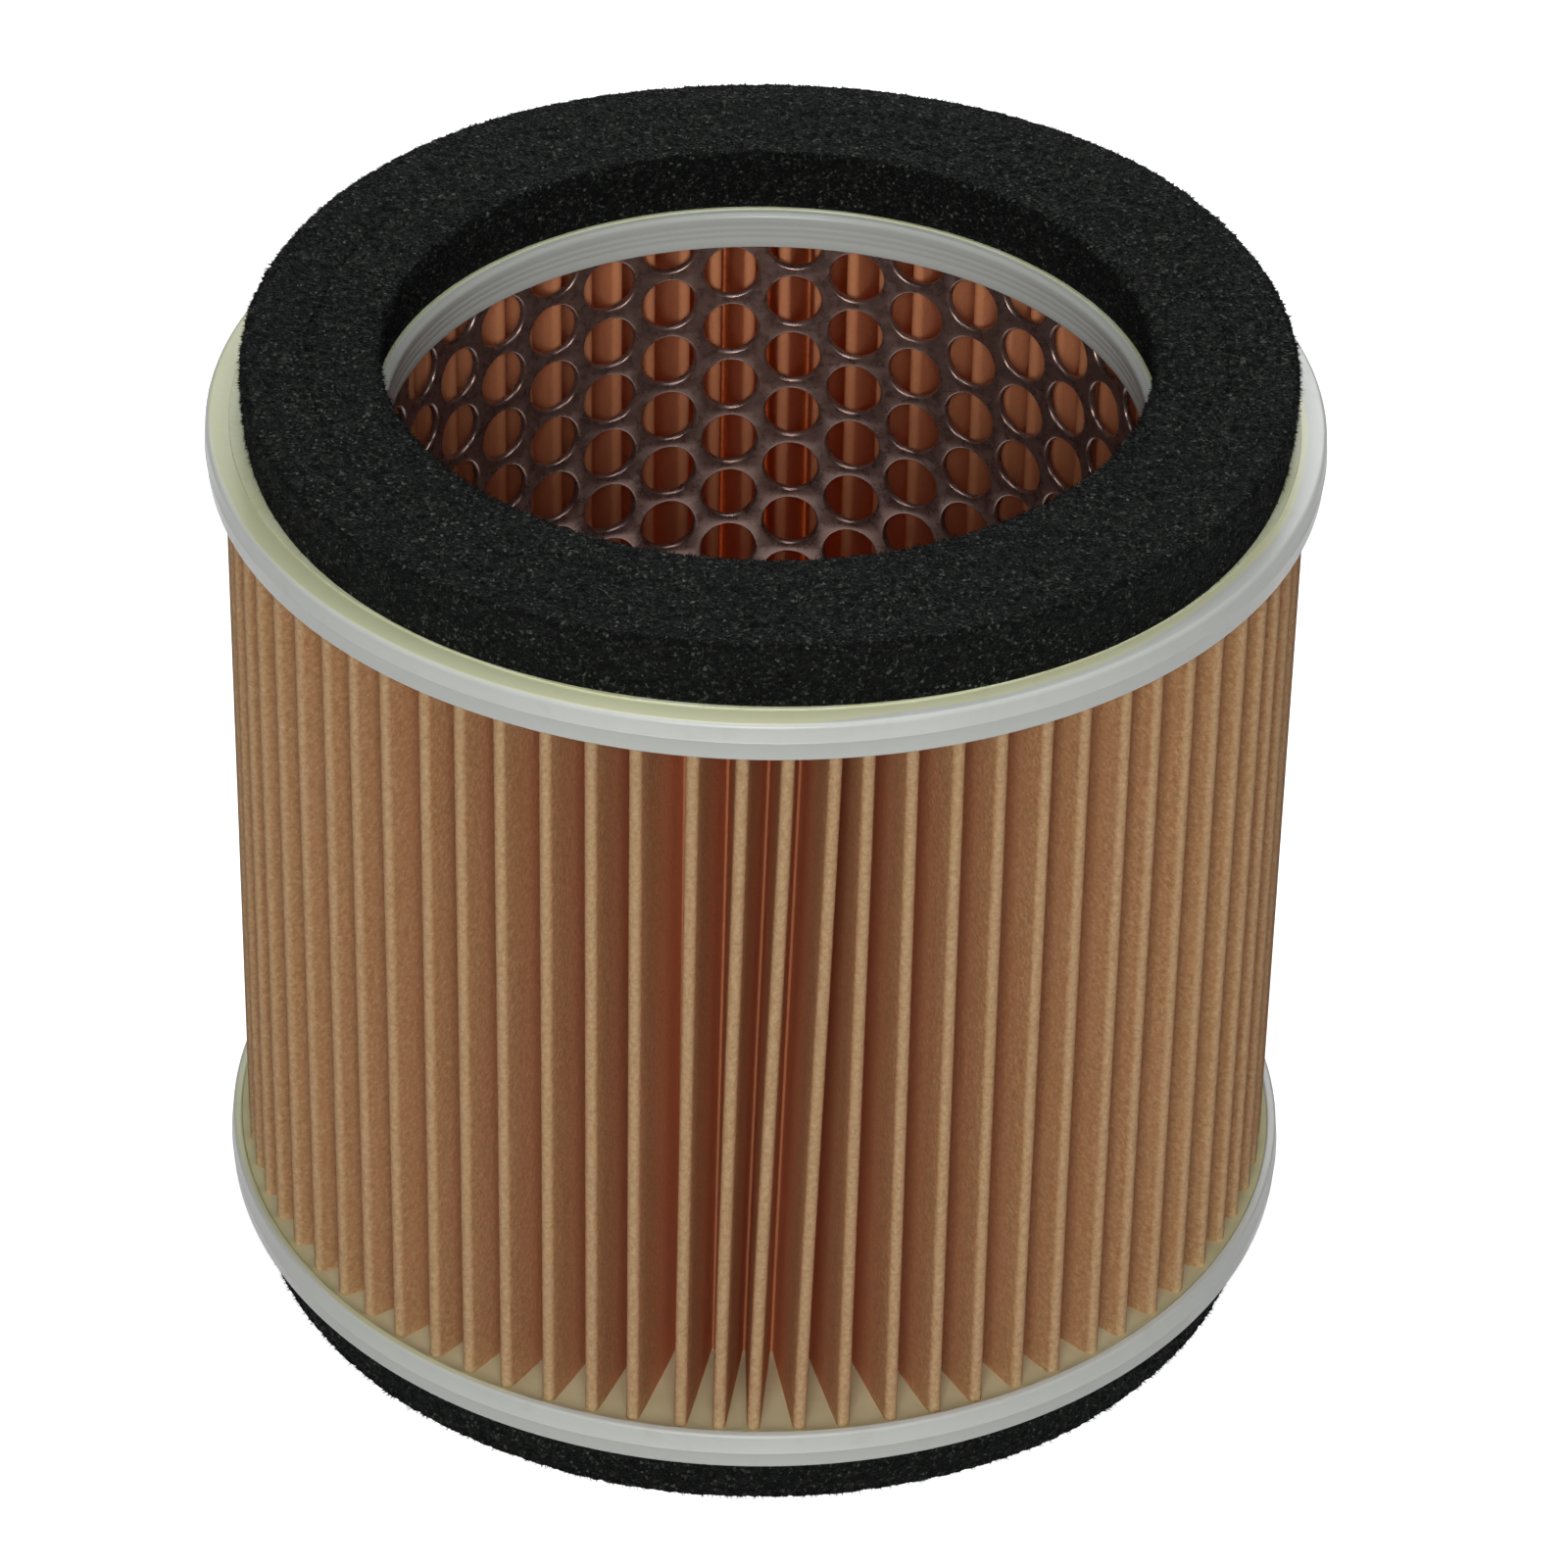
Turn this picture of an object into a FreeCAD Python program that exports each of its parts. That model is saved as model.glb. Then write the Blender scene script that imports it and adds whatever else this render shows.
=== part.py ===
"""Round pleated air filter element for a motorcycle air box.

Two identical moulded end caps hold a folded paper pack and a perforated steel core between
them. Potting compound in each cap's channel bonds the pack and the core. A foam gasket ring
is glued on the outer face of each cap. Both ends are open, so air flows in through the
pleats, through the core and out along the axis.

Millimetres, +Z up. The origin is on the axis, at the underside of the bottom gasket.
"""
import FreeCAD, Part
import math
import os

Vector = FreeCAD.Vector
UP = Vector(0, 0, 1)
ORIGIN = Vector(0, 0, 0)

# --- Driving dimensions -------------------------------------------------------------------

# heights from the bottom up
BOTTOM_FOAM_THICKNESS = 6.2
TOP_FOAM_THICKNESS = 7.0
GLUE_THICKNESS = 0.2
ELEMENT_HEIGHT = 91.0           # from one cap's face to the other cap's face

# end caps
CAP_RADIUS = 56.0
BORE_RADIUS = 38.0
RIM_HEIGHT = 4.1
RIM_WALL = 1.2
FACE_THICKNESS = 1.2
COLLAR_WALL = 1.3
SHOULDER_RADIUS = 0.5           # rounding of the rim's outer shoulder
LIP_RADIUS = 0.6                # rounding of the bore's lip
EDGE_RADIUS = 0.3               # rounding of the other moulded edges
PARTING_DEPTH = 2.0             # from the cap's face to the mould's parting line on the rim
PARTING_STEP = 0.08             # the rim is this much smaller past the parting line
RIM_DRAFT = 0.12                # taper of the rim on each side of the parting line

# potting compound
POTTING_THICKNESS = 2.2
PACK_EMBED_GAP = 0.6            # compound left under the ends of the paper

# folded paper
PLEAT_COUNT = 73
PLEAT_TIP_RADIUS = 54.1
PLEAT_ROOT_RADIUS = 41.3
PAPER_THICKNESS = 0.5
FOLD_INSIDE_RADIUS = 0.15
PLEAT_SEAM_ANGLE = 6.0          # where the first and last leaves are glued together
SEAM_GLUE_MEAN = 0.15           # mean thickness of that glue line
SEAM_GLUE_MARGIN = 1.5          # the glue stops short of the folds by this much

# perforated core
CORE_INNER_RADIUS = 39.6
SHEET_THICKNESS = 0.7
HOLE_RADIUS = 2.85
HOLE_PITCH_Z = 6.9
COLUMN_PITCH_ANGLE = 9.6
COLUMN_COUNT = 35
MIDDLE_COLUMN_ANGLE = 86.1      # opposite the seam
HOLE_TOP_OFFSET = 4.5           # from the top cap's face to the middle column's first hole
HOLES_PER_COLUMN = 12
LAP_WIDTH = 7.0
LAP_GAP = 0.05                  # play between the two layers of the lapped seam
JOGGLE_LENGTH = 1.2             # where the outer layer steps out over the inner one
WELD_RADIUS = 1.6
WELD_COUNT = 7
WELD_END_MARGIN = 9.0

# gaskets: radii at the glued side and at the free side
TOP_FOAM_GLUED = (39.2, 52.9)
TOP_FOAM_FREE = (38.3, 53.2)
BOTTOM_FOAM_GLUED = (39.2, 53.0)
BOTTOM_FOAM_FREE = (38.6, 53.4)
FOAM_FREE_ROUND = 0.5
FOAM_GLUED_ROUND = 0.2

# glue film under each gasket
GLUE_INNER_RADIUS = 38.9
GLUE_OUTER_RADIUS = 53.6

# --- Heights and radii worked out from them -----------------------------------------------

BOTTOM_FACE_Z = BOTTOM_FOAM_THICKNESS + GLUE_THICKNESS
TOP_FACE_Z = BOTTOM_FACE_Z + ELEMENT_HEIGHT
TOP_FOAM_Z = TOP_FACE_Z + GLUE_THICKNESS
BOTTOM_FLOOR_Z = BOTTOM_FACE_Z + FACE_THICKNESS
TOP_FLOOR_Z = TOP_FACE_Z - FACE_THICKNESS
PACK_BOTTOM_Z = BOTTOM_FLOOR_Z + PACK_EMBED_GAP
PACK_TOP_Z = TOP_FLOOR_Z - PACK_EMBED_GAP
FOLD_OUTSIDE_RADIUS = FOLD_INSIDE_RADIUS + PAPER_THICKNESS
CORE_OUTER_RADIUS = CORE_INNER_RADIUS + SHEET_THICKNESS
LAP_RADIUS = CORE_OUTER_RADIUS + LAP_GAP + SHEET_THICKNESS


# --- Helpers ------------------------------------------------------------------------------

def polar(radius, degrees, z=0.0):
    """The point at a radius and an angle about the axis."""
    angle = math.radians(degrees)
    return Vector(radius * math.cos(angle), radius * math.sin(angle), z)


def rounded_outline(corners):
    """A closed wire in the XZ plane through (radius, z, rounding) corners."""
    points = [Vector(radius, 0, z) for radius, z, _ in corners]
    count = len(corners)
    starts = []
    ends = []
    middles = []
    for i, (_, _, rounding) in enumerate(corners):
        to_last = (points[i - 1] - points[i]).normalize()
        to_next = (points[(i + 1) % count] - points[i]).normalize()
        half = to_last.getAngle(to_next) / 2.0
        setback = rounding / math.tan(half)
        bisector = (to_last + to_next).normalize()
        starts.append(points[i] + to_last * setback)
        ends.append(points[i] + to_next * setback)
        middles.append(points[i] + bisector * (rounding / math.sin(half) - rounding))
    edges = []
    for i in range(count):
        if corners[i][2] > 0:
            edges.append(Part.Arc(starts[i], middles[i], ends[i]).toShape())
        edges.append(Part.LineSegment(ends[i], starts[(i + 1) % count]).toShape())
    return Part.Wire(edges)


def revolved(corners):
    """The ring that a rounded outline sweeps about the Z axis."""
    face = Part.Face(rounded_outline(corners))
    return face.revolve(ORIGIN, UP, 360)


def turned_over(shape):
    """A copy turned upside down about the mid-plane between the caps."""
    middle = (BOTTOM_FACE_Z + TOP_FACE_Z) / 2.0
    copy = shape.copy()
    copy.rotate(Vector(0, 0, middle), Vector(1, 0, 0), 180)
    return copy


def ring(inner, outer, z, height):
    """A plain flat ring."""
    return Part.makeCylinder(outer, height, Vector(0, 0, z)).cut(
        Part.makeCylinder(inner, height, Vector(0, 0, z)))


# --- End caps -----------------------------------------------------------------------------

def top_end_cap():
    """A shallow channel open downwards, with a rounded rim outside and a collar inside."""
    face = TOP_FACE_Z
    rim_inner = CAP_RADIUS - RIM_WALL
    collar_outer = BORE_RADIUS + COLLAR_WALL
    rim_edge = face - RIM_HEIGHT
    parting = face - PARTING_DEPTH
    lower_radius = CAP_RADIUS - PARTING_STEP
    return revolved([
        (BORE_RADIUS, face, LIP_RADIUS),
        (BORE_RADIUS, rim_edge, EDGE_RADIUS),
        (collar_outer, rim_edge, EDGE_RADIUS),
        (collar_outer, face - FACE_THICKNESS, 0),
        (rim_inner, face - FACE_THICKNESS, 0),
        (rim_inner, rim_edge, EDGE_RADIUS),
        (lower_radius - RIM_DRAFT, rim_edge, EDGE_RADIUS),
        (lower_radius, parting, 0),
        (CAP_RADIUS, parting, 0),
        (CAP_RADIUS - RIM_DRAFT, face, SHOULDER_RADIUS),
    ])


def bottom_end_cap():
    return turned_over(top_end_cap())


# --- Folded paper -------------------------------------------------------------------------

def pleat_layout():
    """The pleat pitch, and the extra angle that the doubled leaf takes at the glued seam."""
    mean_radius = (PLEAT_TIP_RADIUS + PLEAT_ROOT_RADIUS) / 2.0
    seam_angle = math.degrees((PAPER_THICKNESS + SEAM_GLUE_MEAN) / mean_radius)
    pitch = (360.0 - seam_angle) / PLEAT_COUNT
    return pitch, seam_angle


def fold_centres():
    """Centres of the fold rounds along the strip, root and tip in turn.

    The first and the last are where a fold would be if the strip went on. They only aim the
    two end leaves.
    """
    pitch = pleat_layout()[0]
    centres = []
    for i in range(PLEAT_COUNT + 1):
        tip_angle = PLEAT_SEAM_ANGLE + i * pitch
        centres.append(polar(PLEAT_ROOT_RADIUS + FOLD_OUTSIDE_RADIUS, tip_angle - pitch / 2.0))
        centres.append(polar(PLEAT_TIP_RADIUS - FOLD_OUTSIDE_RADIUS, tip_angle))
    return centres


def is_tip(index):
    return index % 2 == 1


def leaf_normals(centres):
    """The unit normal of each leaf, to its left as the strip runs counter-clockwise.

    A leaf leaves one fold and meets the next on its other side.
    """
    reach = FOLD_INSIDE_RADIUS + FOLD_OUTSIDE_RADIUS
    normals = []
    for i in range(len(centres) - 1):
        span = centres[i + 1] - centres[i]
        across = -reach if is_tip(i) else reach
        angle = math.atan2(span.y, span.x) + math.acos(across / span.Length)
        normals.append(Vector(math.cos(angle), math.sin(angle), 0))
    return normals


def fold_offset(index, left):
    """How far one face of the paper is from a fold's centre, along the leaf's left normal."""
    inside = is_tip(index) == left
    radius = FOLD_INSIDE_RADIUS if inside else FOLD_OUTSIDE_RADIUS
    return -radius if is_tip(index) else radius


def fold_middle(index, centres, normals, left):
    """The point half-way round a fold, on one face of the paper."""
    turning = (normals[index - 1] - normals[index]).cross(UP).normalize()
    return centres[index] + turning * abs(fold_offset(index, left))


def paper_face_line(centres, normals, left):
    """One face of the folded strip from above: an arc at each fold and a straight leaf between."""
    edges = []
    last = centres[0] + normals[0] * fold_offset(0, left)
    for i in range(1, len(centres) - 1):
        arriving = centres[i] + normals[i - 1] * fold_offset(i, left)
        leaving = centres[i] + normals[i] * fold_offset(i, left)
        edges.append(Part.LineSegment(last, arriving).toShape())
        edges.append(Part.Arc(arriving, fold_middle(i, centres, normals, left), leaving).toShape())
        last = leaving
    final = centres[-1] + normals[-1] * fold_offset(len(centres) - 1, left)
    edges.append(Part.LineSegment(last, final).toShape())
    return edges


def pleated_element():
    """The folded paper pack: one strip, whose two end leaves lie side by side at the seam."""
    centres = fold_centres()
    normals = leaf_normals(centres)
    left = paper_face_line(centres, normals, True)
    right = paper_face_line(centres, normals, False)
    first_end = Part.LineSegment(left[0].Vertexes[0].Point, right[0].Vertexes[0].Point)
    last_end = Part.LineSegment(left[-1].Vertexes[-1].Point, right[-1].Vertexes[-1].Point)
    outline = left + [last_end.toShape()] + right[::-1] + [first_end.toShape()]
    face = Part.Face(Part.Wire(outline))
    face.translate(Vector(0, 0, PACK_BOTTOM_Z))
    return face.extrude(Vector(0, 0, PACK_TOP_Z - PACK_BOTTOM_Z))


def pleat_seam_adhesive():
    """The thin wedge of glue between the first and the last leaf of the strip."""
    centres = fold_centres()
    normals = leaf_normals(centres)
    corners = []
    for leaf, left in ((0, False), (len(normals) - 1, True)):
        inner = centres[leaf] + normals[leaf] * fold_offset(leaf, left)
        outer = centres[leaf + 1] + normals[leaf] * fold_offset(leaf + 1, left)
        margin = (outer - inner).normalize() * SEAM_GLUE_MARGIN
        corners.append([inner + margin, outer - margin])
    outline = corners[0] + corners[1][::-1]
    face = Part.Face(Part.makePolygon(outline + outline[:1]))
    face.translate(Vector(0, 0, PACK_BOTTOM_Z))
    return face.extrude(Vector(0, 0, PACK_TOP_Z - PACK_BOTTOM_Z))


# --- Core ---------------------------------------------------------------------------------

def arc_about_axis(radius, first_degrees, last_degrees):
    """An arc of a circle about the axis, at height zero."""
    middle = (first_degrees + last_degrees) / 2.0
    return Part.Arc(polar(radius, first_degrees), polar(radius, middle),
                    polar(radius, last_degrees)).toShape()


def seam_angles():
    """Where the joggle starts, the inner layer's edge is, and the outer layer's edge is."""
    seam = MIDDLE_COLUMN_ANGLE + 180.0
    half_lap = math.degrees(LAP_WIDTH / 2.0 / CORE_INNER_RADIUS)
    joggle = math.degrees(JOGGLE_LENGTH / CORE_INNER_RADIUS)
    return seam - half_lap - joggle, seam - half_lap, seam + half_lap


def core_outside_edges(first_degrees):
    """The core's outer line seen from above, from an angle on it round to the lap's edge."""
    joggle_start, inner_edge, outer_edge = seam_angles()
    joggle = Part.LineSegment(polar(CORE_OUTER_RADIUS, joggle_start), polar(LAP_RADIUS, inner_edge))
    return [
        arc_about_axis(CORE_OUTER_RADIUS, first_degrees - 360.0, joggle_start),
        joggle.toShape(),
        arc_about_axis(LAP_RADIUS, inner_edge, outer_edge),
    ]


def core_envelope():
    """Everything inside the core's outer surface, at the height of the paper pack."""
    outer_edge = seam_angles()[2]
    step = Part.LineSegment(polar(LAP_RADIUS, outer_edge), polar(CORE_OUTER_RADIUS, outer_edge))
    face = Part.Face(Part.Wire(core_outside_edges(outer_edge) + [step.toShape()]))
    face.translate(Vector(0, 0, BOTTOM_FLOOR_Z))
    return face.extrude(Vector(0, 0, TOP_FLOOR_Z - BOTTOM_FLOOR_Z))


def rolled_sheet():
    """The core's sheet before it is perforated: a tube whose edges lap, the outer one joggled."""
    joggle_start, inner_edge, outer_edge = seam_angles()
    layer_radius = CORE_OUTER_RADIUS + LAP_GAP
    outside = core_outside_edges(inner_edge)
    lap_end = Part.LineSegment(polar(LAP_RADIUS, outer_edge), polar(layer_radius, outer_edge))
    joggle = Part.LineSegment(polar(layer_radius, inner_edge), polar(CORE_INNER_RADIUS, joggle_start))
    sheet_end = Part.LineSegment(
        polar(CORE_INNER_RADIUS, inner_edge), polar(CORE_OUTER_RADIUS, inner_edge))
    outline = outside + [
        lap_end.toShape(),
        arc_about_axis(layer_radius, inner_edge, outer_edge),
        joggle.toShape(),
        arc_about_axis(CORE_INNER_RADIUS, inner_edge - 360.0, joggle_start),
        sheet_end.toShape(),
    ]
    face = Part.Face(Part.Wire(outline))
    face.translate(Vector(0, 0, BOTTOM_FLOOR_Z))
    return face.extrude(Vector(0, 0, TOP_FLOOR_Z - BOTTOM_FLOOR_Z))


def radial_cutter(radius, degrees, z):
    """A cylinder on a line out from the axis, through the core's wall."""
    start = CORE_INNER_RADIUS / 2.0
    return Part.makeCylinder(radius, CORE_INNER_RADIUS, polar(start, degrees, z), polar(1, degrees))


def perforations():
    """Cutters for the round holes, in columns that are staggered by half a pitch."""
    cutters = []
    last_column = COLUMN_COUNT // 2
    for column in range(-last_column, last_column + 1):
        staggered = column % 2
        first = TOP_FACE_Z - HOLE_TOP_OFFSET - staggered * HOLE_PITCH_Z / 2.0
        angle = MIDDLE_COLUMN_ANGLE + column * COLUMN_PITCH_ANGLE
        for row in range(HOLES_PER_COLUMN):
            cutters.append(radial_cutter(HOLE_RADIUS, angle, first - row * HOLE_PITCH_Z))
    return cutters


def weld_cutters():
    """The places of the spot welds, evenly spaced down the middle of the lap."""
    seam = MIDDLE_COLUMN_ANGLE + 180.0
    first = BOTTOM_FLOOR_Z + WELD_END_MARGIN
    pitch = (TOP_FLOOR_Z - WELD_END_MARGIN - first) / (WELD_COUNT - 1)
    return [radial_cutter(WELD_RADIUS, seam, first + i * pitch) for i in range(WELD_COUNT)]


def perforated_core():
    return rolled_sheet().cut(perforations() + weld_cutters())


def core_seam_welds():
    """Nuggets fused through both layers of the lap."""
    both_layers = ring(CORE_INNER_RADIUS, LAP_RADIUS, BOTTOM_FLOOR_Z, TOP_FLOOR_Z - BOTTOM_FLOOR_Z)
    return Part.makeCompound([both_layers.common(cutter) for cutter in weld_cutters()])


# --- Potting compound ---------------------------------------------------------------------

def potting(z):
    """The compound in a cap's channel, moulded round the core and the ends of the paper."""
    fill = Part.makeCylinder(CAP_RADIUS - RIM_WALL, POTTING_THICKNESS, Vector(0, 0, z))
    return fill.cut([core_envelope(), pleated_element(), pleat_seam_adhesive()])


def top_potting():
    return potting(TOP_FLOOR_Z - POTTING_THICKNESS)


def bottom_potting():
    return potting(BOTTOM_FLOOR_Z)


# --- Gaskets and their glue ---------------------------------------------------------------

def foam_ring(glued_z, free_z, glued_radii, free_radii):
    """A gasket ring that bulges a little away from its glued side."""
    return revolved([
        (glued_radii[0], glued_z, FOAM_GLUED_ROUND),
        (glued_radii[1], glued_z, FOAM_GLUED_ROUND),
        (free_radii[1], free_z, FOAM_FREE_ROUND),
        (free_radii[0], free_z, FOAM_FREE_ROUND),
    ])


def top_foam_gasket():
    free_z = TOP_FOAM_Z + TOP_FOAM_THICKNESS
    return foam_ring(TOP_FOAM_Z, free_z, TOP_FOAM_GLUED, TOP_FOAM_FREE)


def bottom_foam_gasket():
    return foam_ring(BOTTOM_FOAM_THICKNESS, 0.0, BOTTOM_FOAM_GLUED, BOTTOM_FOAM_FREE)


def top_foam_adhesive():
    return ring(GLUE_INNER_RADIUS, GLUE_OUTER_RADIUS, TOP_FACE_Z, GLUE_THICKNESS)


def bottom_foam_adhesive():
    return ring(GLUE_INNER_RADIUS, GLUE_OUTER_RADIUS, BOTTOM_FOAM_THICKNESS, GLUE_THICKNESS)


# --- The assembly -------------------------------------------------------------------------

SUB_PARTS = (
    top_end_cap,
    bottom_end_cap,
    pleated_element,
    pleat_seam_adhesive,
    perforated_core,
    core_seam_welds,
    top_potting,
    bottom_potting,
    top_foam_gasket,
    bottom_foam_gasket,
    top_foam_adhesive,
    bottom_foam_adhesive,
)


def main():
    os.makedirs("parts", exist_ok=True)
    for make in SUB_PARTS:
        shape = make()
        shape.exportStep("parts/" + make.__name__ + ".step")
        print(make.__name__, "valid", shape.isValid(), "solids", len(shape.Solids),
              "mm3", round(shape.Volume, 1))


main()
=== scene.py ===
import math

import bmesh
import bpy
import numpy as np
from mathutils import Matrix, Vector


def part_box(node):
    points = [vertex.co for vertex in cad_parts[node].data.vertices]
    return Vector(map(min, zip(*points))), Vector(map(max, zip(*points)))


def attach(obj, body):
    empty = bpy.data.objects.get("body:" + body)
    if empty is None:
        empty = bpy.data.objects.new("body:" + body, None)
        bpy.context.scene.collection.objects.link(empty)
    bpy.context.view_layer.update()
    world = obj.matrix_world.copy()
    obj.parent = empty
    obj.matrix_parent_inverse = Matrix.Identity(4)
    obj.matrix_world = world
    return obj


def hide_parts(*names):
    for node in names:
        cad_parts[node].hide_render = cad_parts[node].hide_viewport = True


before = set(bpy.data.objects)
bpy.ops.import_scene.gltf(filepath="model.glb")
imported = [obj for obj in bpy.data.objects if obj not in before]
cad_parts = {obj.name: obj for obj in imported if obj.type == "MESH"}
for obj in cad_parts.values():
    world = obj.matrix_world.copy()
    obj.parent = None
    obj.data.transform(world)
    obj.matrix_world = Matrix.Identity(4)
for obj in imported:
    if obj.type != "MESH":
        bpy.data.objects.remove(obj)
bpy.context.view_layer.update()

MM = 0.001
TURN = 2.0 * math.pi
rng = np.random.RandomState(73)


# --- Places taken from the frame ----------------------------------------------------------

def node_heights(name):
    low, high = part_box(name)
    return low.z, high.z


def node_radius(name):
    low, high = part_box(name)
    return (high.x - low.x) / 2.0


TOP_CAP_EDGE, TOP_FACE = node_heights("top_end_cap")
BOTTOM_FACE = node_heights("bottom_end_cap")[0]
CORE_BOTTOM, CORE_TOP = node_heights("perforated_core")
PACK_BOTTOM, PACK_TOP = node_heights("pleated_element")
TOP_POTTING_UNDERSIDE = node_heights("top_potting")[0]
BOTTOM_POTTING_SURFACE = node_heights("bottom_potting")[1]
TOP_FOAM_BASE, TOP_FOAM_FREE = node_heights("top_foam_gasket")
BOTTOM_FOAM_FREE, BOTTOM_FOAM_BASE = node_heights("bottom_foam_gasket")
CAP_RADIUS = node_radius("top_end_cap")

# the same dimensions as the CAD nodes that the pieces below replace
BORE_RADIUS = 38.0 * MM
RIM_WALL = 1.2 * MM
FACE_THICKNESS = 1.2 * MM
COLLAR_WALL = 1.3 * MM
CORE_INNER_RADIUS = 39.6 * MM
SHEET_THICKNESS = 0.7 * MM
HOLE_RADIUS = 2.85 * MM
HOLE_PITCH_Z = 6.9 * MM
COLUMN_PITCH = math.radians(9.6)
LAST_COLUMN = 17
MIDDLE_COLUMN = math.radians(86.1)
HOLE_TOP_OFFSET = 4.5 * MM
HOLES_PER_COLUMN = 12
LAP_WIDTH = 7.0 * MM
LAP_GAP = 0.05 * MM
JOGGLE_LENGTH = 1.2 * MM
WELD_RADIUS = 1.6 * MM
WELD_COUNT = 7
WELD_END_MARGIN = 9.0 * MM
PLEAT_COUNT = 73
PLEAT_TIP_RADIUS = 54.1 * MM
PLEAT_ROOT_RADIUS = 41.3 * MM
PAPER_THICKNESS = 0.5 * MM
FOLD_INSIDE = 0.15 * MM
FOLD_OUTSIDE = FOLD_INSIDE + PAPER_THICKNESS


# --- Mesh helpers -------------------------------------------------------------------------

def make_object(name, points, faces, material, crease_degrees=35.0):
    """A mesh object with smooth shading, broken where faces meet at more than the crease."""
    mesh = bpy.data.meshes.new(name)
    mesh.from_pydata([tuple(p) for p in points], [], [tuple(f) for f in faces])
    mesh.validate()
    solid = bmesh.new()
    solid.from_mesh(mesh)
    bmesh.ops.recalc_face_normals(solid, faces=solid.faces)
    solid.to_mesh(mesh)
    solid.free()
    mesh.shade_smooth()
    mesh.set_sharp_from_angle(angle=math.radians(crease_degrees))
    mesh.materials.append(material)
    piece = bpy.data.objects.new(name, mesh)
    bpy.context.scene.collection.objects.link(piece)
    return piece


def rounded_profile(corners, steps=6):
    """Points of a closed (radius, z) outline whose corners are (radius, z, rounding)."""
    points = [np.array(c[:2]) for c in corners]
    outline = []
    for i, corner in enumerate(corners):
        here = points[i]
        rounding = corner[2]
        if rounding == 0:
            outline.append(here)
            continue
        to_last = points[i - 1] - here
        to_next = points[(i + 1) % len(points)] - here
        to_last = to_last / np.linalg.norm(to_last)
        to_next = to_next / np.linalg.norm(to_next)
        half = math.acos(float(np.clip(to_last @ to_next, -1, 1))) / 2.0
        bisector = (to_last + to_next) / np.linalg.norm(to_last + to_next)
        centre = here + bisector * rounding / math.sin(half)
        first = here + to_last * rounding / math.tan(half) - centre
        last = here + to_next * rounding / math.tan(half) - centre
        sweep = math.pi - 2.0 * half
        for k in range(steps + 1):
            t = k / steps
            blend = (first * math.sin((1 - t) * sweep) + last * math.sin(t * sweep)) / math.sin(sweep)
            outline.append(centre + blend)
    return np.array(outline)


def subdivided(outline, spacing):
    """The closed outline with its long stretches cut into steps of about the spacing."""
    points = []
    for here, following in zip(outline, np.roll(outline, -1, axis=0)):
        steps = max(1, int(round(np.linalg.norm(following - here) / spacing)))
        points.extend(here + (following - here) * k / steps for k in range(steps))
    return np.array(points)


def lathe(outline, segments):
    """Points and quads of the ring that a closed (radius, z) outline sweeps."""
    count = len(outline)
    angles = np.arange(segments) * TURN / segments
    radii = outline[:, 0]
    points = np.empty((segments, count, 3))
    points[:, :, 0] = np.cos(angles)[:, None] * radii
    points[:, :, 1] = np.sin(angles)[:, None] * radii
    points[:, :, 2] = outline[:, 1]
    faces = grid_faces(segments, count, True, True)
    return points.reshape(-1, 3), faces


def grid_faces(rows, columns, wrap_rows, wrap_columns):
    """Quads between neighbouring points of a rows x columns grid."""
    row_steps = rows if wrap_rows else rows - 1
    column_steps = columns if wrap_columns else columns - 1
    i, j = np.meshgrid(np.arange(row_steps), np.arange(column_steps), indexing="ij")
    i = i.ravel()
    j = j.ravel()
    next_i = (i + 1) % rows
    next_j = (j + 1) % columns
    return np.stack([
        i * columns + j, next_i * columns + j, next_i * columns + next_j, i * columns + next_j,
    ], axis=1)


# --- Materials ----------------------------------------------------------------------------

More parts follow.
